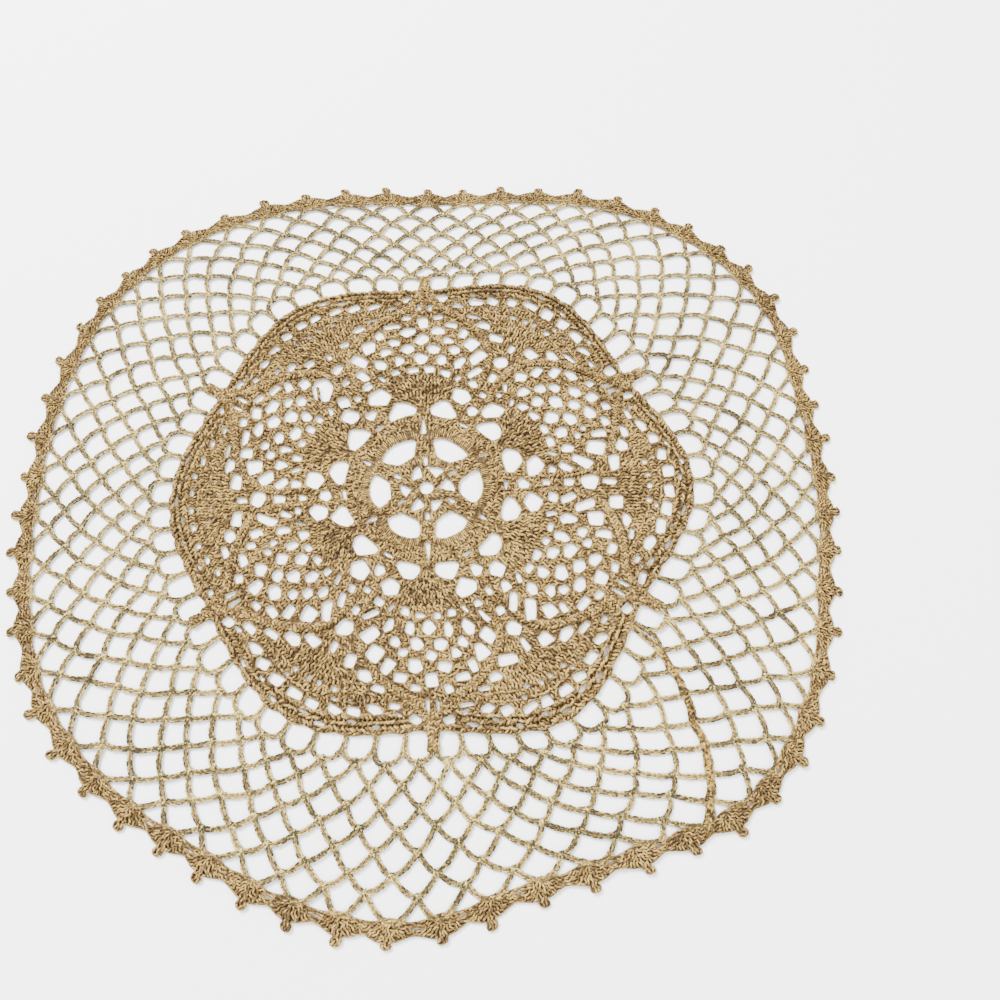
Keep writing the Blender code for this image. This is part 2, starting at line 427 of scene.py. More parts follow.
def rounded(corners, cuts=(0.12, 0.25)):
    """A closed outline with its corners cut off, and the corners of that cut again, which rounds them."""
    for cut in cuts:
        after = np.roll(corners, -1, axis=0)
        ends = (corners + cut * (after - corners), after + cut * (corners - after))
        corners = np.stack(ends, 1).reshape(-1, 2)
    return corners


def gap(axis, angle, share, width, height, lean, corners):
    """The rounded outline of a gap, bent along the round and a little uneven."""
    large = min(width, height) > 2.0
    step = 2 * np.pi * (np.arange(corners) + 0.5) / corners + vary.uniform(-0.30, 0.30, corners)
    grow = vary.uniform(0.84, 1.10, corners) / math.cos(math.pi / corners)
    u = (GAP_GROWTH * width * MM / 2 + STRAND) * grow * np.cos(step)
    v = (GAP_GROWTH * height * MM / 2 + STRAND) * grow * np.sin(step)
    lean = math.radians(lean + vary.uniform(-10, 10) * large)
    along = u * math.cos(lean) - v * math.sin(lean)
    out = u * math.sin(lean) + v * math.cos(lean)
    at = angle + vary.uniform(-0.4, 0.4)
    height_share = share + vary.uniform(-0.004, 0.004)
    chart = rounded(np.column_stack((at - np.degrees(along / (share * ROSE)), height_share + out / ROSE)))
    return lay_rose(axis + chart[:, 0], chart[:, 1])


def shaped_gap(axis, side, corners):
    """One of the largest gaps, each of its corners a little out of place."""
    chart = np.array(corners) * (side, 1)
    chart += vary.uniform(-1, 1, chart.shape) * (0.35 / chart[:, 1:].mean(), 0.006)
    chart = rounded(chart)
    return lay_rose(axis + chart[:, 0], chart[:, 1])


def openness(repeat, side, angle, share):
    """How far the gaps of the chart are opened or closed at a place of one repeat."""
    lobe = (repeat + (side > 0)) % REPEATS
    if share > LADDER_FROM:
        return LADDER_OPEN[lobe]
    if share <= PULLED_FROM:
        return 1.0
    in_lobe = angle > 23.5 or (share > 0.85 and angle > 12)
    return LOBE_OPEN[lobe] if in_lobe else PINEAPPLE_OPEN[repeat]


print("the first pineapple's gaps are", openness(0, 1, 5.0, 0.70), "times as wide as in the chart")

# %% [markdown]
# ## Enough cotton between the gaps
#
# Besides the chart's gaps there is the hole in the middle, a slit between each two petals and a ring of slits
# that part the rim's ropes. One strand broke, and the gaps beside it have run together. Where two gaps come
# closer than a strand is thick, both are drawn in until it fits between them.

# %% All gaps of the rose
CENTRE_HOLE = 5.2 * MM
RIM_SLITS = 66
RIM_SLIT_ROUNDS = (0.055, 0.030)  # between the rim's ropes, as distances inside the rim
NOTCH_HALF = 8.5  # degrees on each side of a notch that have gaps of their own
BROKEN_AT = (0.684, 135.3)  # where a strand broke, as a share and a laid direction
BROKEN_TAKES = 5.9 * MM  # gaps with their middles nearer than this belong to the torn one
TORN_REACH = (4.3, 5.4)  # from its middle to a corner, least and most, in millimetres
TORN_WIDE = 0.92
TORN_TALL = 1.16
WALL = 0.42 * MM  # the least cotton between two gaps
NEIGHBOURS = 15 * MM  # gaps with their middles further apart don't meet
OUTLINE_STEP = 0.4 * MM
DRAWN_IN = 0.95  # by and by


def rim_slits():
    """Slits between the ropes of the rim, where a stitch was pulled tight."""
    slits = []
    for k in range(RIM_SLITS):
        middle = 360 * (k + vary.uniform(-0.3, 0.3)) / RIM_SLITS
        if from_notch(middle) < NOTCH_HALF:
            continue
        half = vary.uniform(1.0, 2.1)
        up = (vary.uniform(0.35, 0.75) * MM + STRAND) / ROSE
        inside = RIM_SLIT_ROUNDS[k % 2]
        turns = middle + half * np.array([-1, -0.5, 0.5, 1, 0.5, -0.5])
        shares = rim_share(turns) - inside + up * np.array([0, 0.9, 1, 0, -0.9, -1])
        slits.append(rounded(lay_rose(turns, shares), (0.22,)))
    return slits


def rose_gaps():
    """All gaps of the rose. One on a fan's or a lobe's axis has no mirror image."""
    gaps = [polar(np.arange(0, 360, 30), CENTRE_HOLE / 2)]
    for repeat, fan in enumerate(FANS):
        middle = PETAL_SLIT.mean(0)
        slit = middle + SLIT_OPEN[repeat] * (PETAL_SLIT - middle)
        gaps += [shaped_gap(fan, 1, corners) for corners in (*SHAPED, slit)]
        gaps.append(shaped_gap(fan, -1, SHAPED[0]))
        for angle, share, width, height, lean, corners in CHART:
            for side in (1, -1) if 0 < angle < 30 else (1,):
                opened = openness(repeat, side, angle, share)
                size = (width * opened, height * opened)
                gaps.append(gap(fan, side * angle, share, *size, side * lean, corners))
    return gaps + rim_slits()


def with_broken_gap(gaps):
    """The gaps, with those beside a broken strand run together into one."""
    middle = polar(BROKEN_AT[1], BROKEN_AT[0] * ROSE)
    left = [outline for outline in gaps if np.hypot(*(outline.mean(0) - middle)) > BROKEN_TAKES]
    turn = np.radians(np.arange(0, 360, 45) + vary.uniform(-12, 12, 8))
    reach = vary.uniform(*TORN_REACH, 8) * MM
    torn = middle + np.column_stack((TORN_WIDE * reach * np.cos(turn), TORN_TALL * reach * np.sin(turn)))
    return [*left, rounded(torn)]


def kept_apart(gaps):
    """The gaps, with pairs that are too near drawn in by and by. The last, the torn one, keeps its size."""
    middles = np.array([outline.mean(0) for outline in gaps])
    left = np.ones(len(gaps))
    near = []
    for k, middle in enumerate(middles):
        away = np.hypot(*(middles[:k] - middle).T)
        near += [(k, int(other)) for other in np.flatnonzero(away < NEIGHBOURS)]
    while near:
        tight = set()
        for pair in near:
            first, second = (resampled(np.concatenate((gaps[k], gaps[k][:1])), OUTLINE_STEP) for k in pair)
            if np.hypot(*(first[:, None] - second).T).min() < WALL:
                tight.add(pair)
        for k in sorted({one for pair in tight for one in pair} - {len(gaps) - 1}):
            middle = gaps[k].mean(0)
            gaps[k] = middle + DRAWN_IN * (gaps[k] - middle)
            left[k] *= DRAWN_IN
        near = sorted(tight)
    print(f"{len(gaps)} gaps in the rose, drawn in to {left.mean():.2f} of their size on average")
    return gaps


GAPS = kept_apart(with_broken_gap(rose_gaps()))

# %% [markdown]
# ## The border's outline
#
# Each loop of the last round holds a shell of stitches with a picot on it, so the border is widest at the
# picots and dips between them. At about every second place where two shells meet, a slit is open.

# %% Border outline
PITCH = 360 / LOOPS
SLIT_CHANCE = 0.50

OUTER_EDGE = [
    # degrees from the picot, millimetres beyond the border's edge
    (-2.2, -0.9),
    (-1.2, 0.1),
    (-0.48, 0.3),
    (-0.44, 0.8),
    (-0.64, 1.5),
    (-0.58, 2.6),
    (-0.22, 3.2),
    (0.22, 3.2),
    (0.58, 2.6),
    (0.64, 1.5),
    (0.44, 0.8),
    (0.48, 0.3),
    (1.2, 0.1),
    (2.2, -0.9),
    (3.0, -1.5),
]
INNER_EDGE = [(-1.6, 0.2), (0.0, -0.8), (1.6, 0.2), (3.0, 0.6)]


def border_outlines():
    """The outer edge, the inner edge and the slits, as closed outlines."""
    outer, inner, slits = [], [], []
    for j in range(LOOPS):
        at = PITCH * j + vary.uniform(-0.3, 0.3)
        long = vary.uniform(0.65, 1.1)
        tilt = vary.uniform(-0.3, 0.3)
        for turn, beyond in OUTER_EDGE:
            reach = beyond * long if beyond > 0 else beyond
            outer.append(lay_net(at + turn + tilt * max(beyond, 0) / 3, 1.0, BORDER_WIDTH + reach * MM))
        for turn, beyond in INNER_EDGE:
            inner.append(lay_net(PITCH * j + turn, 1.0, (beyond + vary.uniform(-0.2, 0.2)) * MM))
        if vary.random() < SLIT_CHANCE:
            middle = PITCH * (j + 0.5) + vary.uniform(-0.5, 0.5)
            across = vary.uniform(1.5, 1.9) * MM
            half = vary.uniform(0.6, 1.1)
            ends = [(-half, 0.0), (-half / 2, 0.55), (half / 2, 0.55), (half, 0.0), (0.0, -0.50)]
            slits.append(rounded(np.array([lay_net(middle + t, 1.0, across + b * MM) for t, b in ends])))
    return [rounded(np.array(outer), (0.22,)), rounded(np.array(inner), (0.25,)), *slits]


BORDER_OUTLINES = border_outlines()
print(len(BORDER_OUTLINES) - 2, "slits in the border")

# %% [markdown]
# ## The rim's outline
#
# The rim has a small nub over each post of the net. In each notch a column of stitches joins the two lobes
# and stands out into the net, so the outline steps round it.

# %% Rim outline
COLUMN = [(-1.6, 0.0), (-1.1, 0.030), (-1.2, 0.080), (1.2, 0.080), (1.1, 0.030), (1.6, 0.0)]
COLUMN_HALF = 1.9  # degrees
RIM_STEP = 1.5  # degrees
RIM_NUB = 0.004  # share


def rim_outline():
    """The rim with a nub over each post of the net, and a column in each notch."""
    chart = []
    for angle in np.arange(0, 360, RIM_STEP):
        if from_notch(angle) > COLUMN_HALF:
            nub = RIM_NUB * math.cos(math.radians(LOOPS * angle)) + vary.uniform(-RIM_NUB, RIM_NUB)
            chart.append((angle, rim_share(angle) - 0.001 + nub))
        elif from_notch(angle) == 0:
            chart += [(angle + turn, rim_share(angle) + beyond) for turn, beyond in COLUMN]
    return lay_rose(*np.array(chart).T)


RIM_OUTLINE = rim_outline()
print(len(RIM_OUTLINE), "points round the rim")

# %% [markdown]
# ## The net's lines
#
# Sixty posts stand on the rim, and rounds of chain loops hang from them, each loop hooked into the middle of
# the one before. The tension rounds off every cell, and where two loops meet, their arms run side by side
# for a moment before they part.

# %% Net lines
NET_ROUNDS = 7
POST_SHARE = 0.17  # of the net's width
NODE_TURN = 0.45  # how far a node may lie out of place, in degrees and in levels
NODE_RISE = 0.014
LAST_RISE = 0.01  # how far the last loops reach under the border
LEVELS = POST_SHARE + (1 - POST_SHARE) * np.arange(NET_ROUNDS + 1) / NET_ROUNDS
HALF_LOOP = [(0.06, 0.00), (0.09, 0.17), (0.38, 0.57), (0.70, 0.89), (1.00, 1.00)]
POST_LOOP = [(0.00, 0.10), (0.03, 0.50), (0.28, 0.86), (0.65, 0.99), (1.00, 1.00)]

# Where the thread climbs from round to round, in degrees for each round. It pulls the nodes beside it along.
CLIMB = [321.6, 319.6, 317.2, 314.8, 312.3, 309.5, 306.3, 303.0]
CLIMB_STARTS = 53  # the number of its first node
CLIMB_PULLS = 20  # degrees


def even_node(k, j):
    """The direction of a node in an even net, where each round is half a loop off the one before."""
    return PITCH * (j + 0.5 * (1 - k % 2))


def climb_node(k):
    """The number of the node that the climb runs through in round k."""
    return CLIMB_STARTS - k // 2


def node(k, j):
    """Angle and level where the loops of round k meet those of the next, each a little out of place."""
    draw = random.Random(1000 * k + j % LOOPS)
    turn = draw.uniform(-NODE_TURN, NODE_TURN)
    rise = draw.uniform(-NODE_RISE, NODE_RISE)
    even = even_node(k, j)
    pull = CLIMB[k] - even_node(k, climb_node(k))
    turn += pull * math.exp(-(((even % 360 - CLIMB[k]) / CLIMB_PULLS) ** 2))
    return even + turn, LEVELS[k] + (rise if k < NET_ROUNDS else LAST_RISE)


def net_loop(left, right, top, half):
    """The line of one loop, from its left foot over its top to its right foot."""
    chart = []
    for end, run in ((left, half), (right, half[-2::-1])):
        for across, up in run:
            chart.append((end[0] + (top[0] - end[0]) * across, end[1] + (top[1] - end[1]) * up))
    line = smooth(chart)
    return lay_net(line[:, 0], line[:, 1])


def net_lines(k):
    """The loops of round k. Round 0 stands on the rim."""
    for j in range(LOOPS):
        if k == 0:
            yield net_loop((PITCH * j, 0.0), (PITCH * (j + 1), 0.0), node(0, j), POST_LOOP)
        else:
            first = j - 1 if k % 2 else j
            yield net_loop(node(k - 1, first), node(k - 1, first + 1), node(k, j), HALF_LOOP)


print(f"{NET_ROUNDS + 1} rounds of {LOOPS} loops, a loop {length_of(next(net_lines(3))) / MM:.1f} mm long")

# %% [markdown]
# ## The lower strands
#
# Between the stitches that face us, others run underneath and close the fabric, painted a darker brown as
# shade. Laying each of those would be wasted work, so in the rose and the border they are one thin, gapped
# sheet, filled from the outlines. In the net, two strands run side by side in the middle of each cord.

# %% Lower strands
GROUND_HEIGHT = 0.50 * MM
GROUND_DEPTH = 0.30 * MM
NET_HEIGHT = 0.66 * MM
CORE_PITCH = 2.2 * MM
CORE_BESIDE = 0.27 * MM  # from the middle of the cord
CORE_FAT = 1.12  # times the thread's own thickness, as all thicknesses of routes are


def filled(outlines):
    """A thin flat mesh inside the first outline and outside the others."""
    curve = bpy.data.curves.new("ground", "CURVE")
    curve.dimensions = "2D"
    curve.fill_mode = "BOTH"
    curve.extrude = GROUND_DEPTH / 2
    for outline in outlines:
        add_route(curve, np.column_stack((outline, np.zeros(len(outline))))).use_cyclic_u = True
    mesh = mesh_of(curve)
    for vertex in mesh.vertices:
        vertex.co.z += GROUND_HEIGHT
    return mesh


net_cores = []
for k in range(NET_ROUNDS + 1):
    for line in net_lines(k):
        places = np.linspace(0, length_of(line), max(round(length_of(line) / CORE_PITCH), 2) + 1)
        up = np.full(len(places), NET_HEIGHT - 0.02 * MM)
        net_cores += [(follow(line, places, side * CORE_BESIDE, up), CORE_FAT) for side in (-1, 1)]

lower_strands = piece_of("lower_strands", net_cores, filled([RIM_OUTLINE, *GAPS]), filled(BORDER_OUTLINES))

# %% [markdown]
# ## Stitch heads
#
# From above, worked cotton is a field of short bright strands that lean left and right in turn, with dark
# between. Each is one small arch of thread. They follow the rounds, and a ray cast down on the lower strands
# tells which would hang over a gap. One that would is turned or shortened until it fits, or left out.

# %% Stitch heads
HEAD_HEIGHT = 0.74 * MM
HEAD_ARCH = 0.42 * MM
HEAD_FAT = 1.30
HEAD_REACH = 0.85  # the part of a head's length that has to lie over cotton

# What is tried in turn, as a share of the lean and a share of the length.
TRIES = [(1, 1.0), (-1, 1.0), (0, 0.9), (2.6, 0.9), (1, 0.65), (-1, 0.65), (2.6, 0.6)]

ground_tree = BVHTree.FromObject(lower_strands, bpy.context.evaluated_depsgraph_get())


def on_ground(place):
    """Whether there is cotton at a place."""
    return ground_tree.ray_cast((place[0], place[1], 0.02), (0, 0, -1))[0] is not None


def turned(direction, degrees):
    """A direction turned to the left."""
    c, s = math.cos(math.radians(degrees)), math.sin(math.radians(degrees))
    return np.array((c * direction[0] - s * direction[1], s * direction[0] + c * direction[1]))


def head(place, out, lean, rise, length, fat=1.0):
    """One stitch head at a place, leaning from the outward direction, or nothing over a gap."""
    if not on_ground(place):
        return []
    for times, share in TRIES:
        way = turned(out, lean * times) * length * share / 2
        if on_ground(place + way * HEAD_REACH) and on_ground(place - way * HEAD_REACH):
            up = HEAD_HEIGHT + rise
            middle = place + turned(way, 90) * vary.uniform(-0.25, 0.25)
            arch = HEAD_ARCH * vary.uniform(0.6, 1.4)
            points = [(*(place - way), up), (*middle, up + arch), (*(place + way), up)]
            return [(np.array(points), fat * vary.uniform(0.85, 1.15))]
    return []


def heads(places, outs, leans, rise, length, fat=HEAD_FAT):
    """Stitch heads at places, each with a height, a length and a thickness of its own."""
    routes = []
    rises = np.broadcast_to(rise, len(places)) + vary.uniform(-0.18, 0.18, len(places)) * MM
    for place, out, lean, lift in zip(places, outs, leans, rises, strict=True):
        routes += head(place, out, lean, lift, length * vary.uniform(0.8, 1.1), fat)
    return routes


print("cotton in a petal:", on_ground(lay_rose(0, 0.30)), "and in a window:", on_ground(lay_rose(0, 0.20)))

# %% [markdown]
# ## Ribs, shells and relief
#
# Not all stitches keep to the rounds. Two raised ribs with grooves beside them frame a pineapple and run up
# the notch, one on each side of its column. In a shell many stitches stand in one gap and fan out from it.
# Where more are crowded in than can lie flat, as in the fans and petals, the fabric bulges. Tables say where,
# and small functions turn and lift the heads there.

# %% Ribs and shells
# A rib, as degrees from the fan's axis and a share.
RIB = [
    (25.0, 0.500),
    (26.2, 0.580),
    (26.0, 0.660),
    (24.0, 0.735),
    (20.7, 0.787),
    (16.0, 0.836),
    (11.8, 0.870),
    (6.6, 0.905),
    (3.2, 0.935),
    (2.0, 0.975),
    (0.9, 1.030),
    (0.5, 1.065),
    (0.5, 1.100),
]
COLUMN_LINE = [(0.0, 0.890), (0.0, 0.930), (0.0, 0.965), (0.0, 1.000)]  # between two ribs, up the notch
RIB_GROOVE = 1.85 * MM  # from the middle of a rib, as far as its grooves reach
RIB_STEP = 0.5 * MM
RIBS = []
for fan in FANS:
    for side, chart in ((1, RIB), (-1, RIB), (1, COLUMN_LINE)):
        line = smooth([lay_rose(fan + side * angle, share) for angle, share in chart])
        RIBS.append(resampled(line, RIB_STEP))
RIB_POINTS = np.concatenate(RIBS)
print(len(RIBS), "ribs and columns")

# Where many stitches stand in one gap and fan out: degrees from the fan's axis, share and reach in mm.
SHELLS = [
    (0.0, 0.352, 17.0),
    (30.0, 0.700, 19.0),
    (23.4, 0.548, 5.0),
    (-23.4, 0.548, 5.0),
    (21.2, 0.690, 6.0),
    (-21.2, 0.690, 6.0),
    (13.0, 0.792, 5.5),
    (-13.0, 0.792, 5.5),
]
SHELL_ROOTS = [(lay_rose(fan + at, share), reach * MM) for fan in FANS for at, share, reach in SHELLS]
SHELL_LEAN = 0.55
FEET = np.array([lay_rose(fan, 0.372) for fan in FANS])  # the dark pores at the foot of each fan
FOOT = 1.0 * MM

RELIEF = [
    # 1 for a fan and -1 for a lobe, then middle and width as shares, height in mm
    (1, 0.465, 0.070, 0.65),
    (-1, 0.310, 0.035, 0.40),
    (-1, 0.890, 0.060, 0.35),
]


def relief(angle, share):
    """How far the fans, the petals and the lobes' fans bulge up out of the rose."""
    to_fan = -np.cos(np.radians(REPEATS * angle))
    bulges = np.zeros(len(angle))
    for side, middle, width, height in RELIEF:
        bulges += height * MM * np.clip(side * to_fan, 0, 1) * np.exp(-(((share - middle) / width) ** 2))
    return bulges


def fanned_out(places, outs, leans):
    """Turns the stitches of a shell so that they point away from the gap in which the shell stands."""
    for root, reach in SHELL_ROOTS:
        away = places - root
        far = np.hypot(*away.T)
        inside = (far < reach) & ((away * outs).sum(1) > 0.45 * far)
        outs[inside] = away[inside] / far[inside, None]
        leans[inside] *= SHELL_LEAN
    return outs, leans


# %% [markdown]
# ## Rounds of stitches
#
# A round is a share of the radius at each angle. Its stitches stand at a pitch along it, not quite in place,
# and every third round is the row of loops on top of the posts, so those lie along it. A few heads are left
# out, where the real fabric shows a dark pore: most in the fans, fewest in the pineapples' mesh.

# %% Rounds
ALONG_PITCH = 1.10 * MM
ROUND_PITCH = 0.96 * MM
JITTER = 0.18  # of the pitch
SPREAD = 22  # degrees, how much leans vary
MISSED = 0.07  # share of the heads
MISSED_IN_MESH = 0.02
MISSED_IN_FAN = 0.15


def missed(angle, share):
    """The share of the heads left out at places of the rose."""
    near_fan = -np.cos(np.radians(REPEATS * angle)) > 0.1
    in_mesh = near_fan & (share > 0.56) & (share < 0.86)
    in_fan = near_fan & (share > 0.38) & (share < 0.56)
    return np.select([in_mesh, in_fan], [MISSED_IN_MESH, MISSED_IN_FAN], MISSED)


def rose_round(share_at, lean, pitch, spread=SPREAD):
    """Angles, shares, places, outward directions and leans of the heads of one round."""
    count = round(2 * math.pi * share_at(15.0) * ROSE / pitch)
    angle = 360 * (np.arange(count) + vary.uniform(-JITTER, JITTER, count)) / count
    share = share_at(angle) + vary.uniform(-0.003, 0.003, count)
    places = lay_rose(angle, share)
    outs = lay_rose(angle, share + 0.01) - places
    outs /= np.hypot(*outs.T)[:, None]
    leans = lean + vary.normal(0, spread, count)
    return angle, share, places, outs, leans


LADDER_INSIDE = 0.127  # how far inside the rim the ladder begins, as a share
FAN_PUSH = 0.020  # how far fans push a round out, at most, as a share
LOBE_PUSH = 0.045

# A row of stitches, from above: two strands that wind up each post, then the loop on top, lying along.
STITCH_ROW = [
    # lean, rise, length
    (30, 0.00 * MM, 1.75 * MM),
    (-24, 0.06 * MM, 1.75 * MM),
    (72, 0.20 * MM, 1.45 * MM),
]


def waved(share, angle):
    """A round's share at an angle: fans push the rounds outwards, and further out the lobes do."""
    fans = FAN_PUSH * math.exp(-(((share - 0.50) / 0.09) ** 2))
    lobes = LOBE_PUSH * max(share - 0.66, 0) / 0.3
    return share + (lobes - fans) * np.cos(np.radians(REPEATS * np.asarray(angle, float)))


def off_ribs(places):
    """Whether each place is clear of the ribs with their grooves, and of the pores at the fans' feet."""
    from_rib = np.array([np.hypot(*(RIB_POINTS - place).T).min() for place in places])
    from_foot = np.array([np.hypot(*(FEET - place).T).min() for place in places])
    return (from_rib > RIB_GROOVE) & (from_foot > FOOT)


def inner_rounds(first, last, row_leans=STITCH_ROW):
    """Rounds of stitch heads between two shares, as far as the ladder."""
    routes = []
    for row, share in enumerate(np.arange(first, last, ROUND_PITCH / ROSE)):
        lean, rise, length = row_leans[row % len(row_leans)]
        middle = share - ROUND_PITCH / ROSE * (row % len(row_leans) - 1)
        pitch = ALONG_PITCH * share / middle
        angle, share, *stitches = rose_round(lambda a, s=share: waved(s, a), lean, pitch)
        kept = vary.random(len(share)) > missed(angle, share)
        kept &= share < rim_share(angle) - LADDER_INSIDE
        kept[kept] = off_ribs(stitches[0][kept])
        places, outs, leans = (values[kept] for values in stitches)
        outs, leans = fanned_out(places, outs, leans)
        routes += heads(places, outs, leans, rise + relief(angle[kept], share[kept]), length)
    return routes


print(f"in a fan, the round at half the radius is pushed out to a share of {waved(0.50, 30.0):.3f}")

# %% [markdown]
# ## Ropes and a fringe
#
# A rib is three rows of heads that lean against each other, so it looks wound like a rope. The rim's rounds
# follow the rim instead of the middle. At each window's edge the feet of the petal's stitches stand side by
# side on their chain arch.

# %% Ribs, rim and fringe
RIB_PITCH = 1.15 * MM
RIB_LENGTH = 1.7 * MM
RIB_FAT = 1.4
RIB_ROWS = [
    # place beside the rib's middle in mm, lean, rise in mm
    (-0.85, 38, 0.35),
    (0.0, -42, 0.70),
    (0.85, 38, 0.35),
]
FRINGE_HALF = 23  # degrees on each side of a petal's axis
FRINGE_PITCH = 1.9  # degrees
FRINGE_LENGTH = 2.5 * MM
FRINGE_FROM = np.linspace(0.225, 0.275, 16)  # shares where the window's edge is looked for


def rib_heads():
    """Three raised rows of heads along each rib and column."""
    routes = []
    for line in RIBS:
        for beside, lean, rise in RIB_ROWS:
            count = round(length_of(line) / RIB_PITCH)
            places = np.linspace(0, length_of(line), count) + vary.uniform(-0.15, 0.15, count) * MM
            across = np.full(count, beside * MM)
            middles = follow(line, places, across, np.zeros(count))[:, :2]
            ways = follow(line, places + 0.5 * MM, across, np.zeros(count))[:, :2] - middles
            ways /= np.hypot(*ways.T)[:, None]
            leans = lean + vary.normal(0, 10, count)
            routes += heads(middles, ways, leans, rise * MM, RIB_LENGTH, RIB_FAT)
    return routes


def rim_rounds(rounds):
    """Rounds of stitch heads that follow the rim, each at its distance inside it and its height."""
    routes = []
    for inside, lean, rise, length, pitch, fat in rounds:
        angle, _, *stitches = rose_round(lambda a, o=inside: rim_share(a) - o, lean, pitch * MM, spread=10)
        kept = (vary.random(len(angle)) > MISSED / 2) & (from_notch(angle) > COLUMN_HALF)
        routes += heads(*(values[kept] for values in stitches), rise * MM, length * MM, fat)
    return routes


def fringe():
    """The feet of the petals' stitches, from each window's edge outwards."""
    routes = []
    for lobe in LOBES:
        for angle in np.arange(lobe - FRINGE_HALF, lobe + FRINGE_HALF + 0.5, FRINGE_PITCH):
            angle += vary.uniform(-0.15, 0.15)
            line = lay_rose(np.full(len(FRINGE_FROM), angle), FRINGE_FROM)
            start = next(place for place in line if on_ground(place))
            way = line[-1] - line[0]
            way *= FRINGE_LENGTH / np.hypot(*way)
            points = [(*start, 0.78), (*(start + 0.35 * way), 1.22), (*(start + way), 1.05)]
            routes.append((np.array(points) * (1, 1, MM), vary.uniform(0.80, 0.95)))
    return routes


print(f"the first rib is {length_of(RIBS[0]) / MM:.0f} mm long")

# %% [markdown]
# ## Edge strands and chains
#
# Every gap is edged by a strand that dips and rises with the stitches it belongs to. A cord of chain
# stitches is a row of loops, each pulled through the one before: two legs side by side on top and one
# strand behind.

# %% Edges and chains
EDGE_PITCH = 0.75 * MM
EDGE_HEIGHT = 0.72 * MM
OUTER_EDGE_HEIGHT = 0.80 * MM  # round the rim and the border
EDGE_FAT = 0.95
CHAIN_PITCH = 1.60 * MM
CHAIN_WIDTH = 0.65 * MM  # middle of the cord to the middle of a leg
CHAIN_DEPTH = 0.26 * MM
CHAIN_FAT = 1.18

CHAIN = np.array([
    # along, across, up
    (0.00, 0.15, -0.5),
    (0.45, 0.95, 0.6),
    (1.05, 0.90, 0.3),
    (1.40, 0.00, -0.6),
    (1.05, -0.90, 0.3),
    (0.45, -0.95, 0.6),
    (0.00, -0.15, -0.5),
])


def edge_strand(outline, height=EDGE_HEIGHT):
    """A strand round a closed outline, dipping and rising."""
    closed = np.concatenate((outline, outline[:2]))
    line = resampled(closed, EDGE_PITCH)
    wave = np.resize((-0.16, 0.16), len(line)) * MM + vary.uniform(-0.08, 0.08, len(line)) * MM
    return [(np.column_stack((line, height + wave)), EDGE_FAT)]


def chain(line, height, width=CHAIN_WIDTH):
    """A cord of chain stitches along a line, as one route of the thread."""
    length = length_of(line)
    count = max(round(length / CHAIN_PITCH), 1)
    along, across, up = CHAIN.T
    places = ((np.arange(count)[:, None] + along) * length / count).ravel()
    rough = vary.uniform(0.85, 1.15, (count, 1))
    across = (across * rough * width).ravel()
    up = (height + up * CHAIN_DEPTH * rough).ravel()
    return [(follow(line, places, across, up), CHAIN_FAT)]


print(f"a chain stitch is {CHAIN_PITCH / MM} mm long and has {len(CHAIN)} points")

# %% [markdown]
# ## The rose
#
# The rose is laid as four pieces, from the middle out. The hub's strands run straight out, the petals begin
# with a fringe, and from there on the rounds lean to and fro. The rim is three raised ropes with a low row
# between each two, and the ribs run into it on each side of a notch's column.

# %% Rose pieces
HUB_STARTS = 0.045  # all as shares
HUB_ENDS = 0.150
FRINGE_STARTS = 0.240
FRINGE_ENDS = 0.283
PETALS_END = 0.352
PETAL_GAPS_END = 0.360
MESH_ENDS = 0.640
HUB_ROW = [(7, 0.0, 1.9 * MM), (-7, 0.0, 1.9 * MM)]
RIM_ROUNDS = [
    # distance inside the rim as a share, lean, then rise, length and pitch in millimetres, thickness
    (0.119, 35, 0.00, 1.5, 1.10, 1.1),
    (0.106, -35, 0.05, 1.5, 1.10, 1.1),
    (0.093, 35, 0.00, 1.5, 1.10, 1.1),
    (0.078, -56, 0.35, 1.7, 1.20, 1.4),  # three ropes, with a low row between each two
    (0.068, 58, 0.80, 1.7, 1.20, 1.5),
    (0.055, 20, 0.00, 1.2, 1.40, 1.0),
    (0.043, -58, 0.85, 1.7, 1.20, 1.5),
    (0.030, 20, 0.05, 1.2, 1.40, 1.0),
    (0.018, 58, 0.90, 1.7, 1.20, 1.5),
    (0.007, -50, 0.45, 1.6, 1.20, 1.3),
]


def gap_edges(low, high):
    """Edge strands of the gaps whose middles are between two distances from the rose's middle."""
    routes = []
    for outline in GAPS:
        distance = np.hypot(*(outline.mean(0) - ROSE_MIDDLE)) / ROSE
        if low <= distance < high:
            routes += edge_strand(outline)
    return routes


hub_and_petals = piece_of(
    "hub_and_petals",
    inner_rounds(HUB_STARTS, HUB_ENDS, HUB_ROW)
    + inner_rounds(HUB_ENDS, FRINGE_STARTS)
    + fringe()
    + inner_rounds(FRINGE_ENDS, PETALS_END)
    + gap_edges(0, PETAL_GAPS_END),
)
fans_and_mesh = piece_of(
    "fans_and_mesh",
    inner_rounds(PETALS_END, MESH_ENDS) + gap_edges(PETAL_GAPS_END, MESH_ENDS),
)
pineapples_and_lobes = piece_of(
    "pineapples_and_lobes",
    inner_rounds(MESH_ENDS, 1.02) + gap_edges(MESH_ENDS, LADDER_FROM),
)
ribbed_rim = piece_of(
    "ribbed_rim",
    rim_rounds(RIM_ROUNDS)
    + rib_heads()
    + edge_strand(RIM_OUTLINE, OUTER_EDGE_HEIGHT)
    + gap_edges(LADDER_FROM, 1.3),
)

# %% [markdown]
# ## The net's cords
#
# Each loop is a chain, and where a loop is hooked into the one before, three short strands wrap the crossing.

# %% Net pieces
KNOT_STRANDS = [(62, 0.0), (-55, 0.12), (4, 0.2)]  # lean, and rise in mm
KNOT_FAT = 1.3


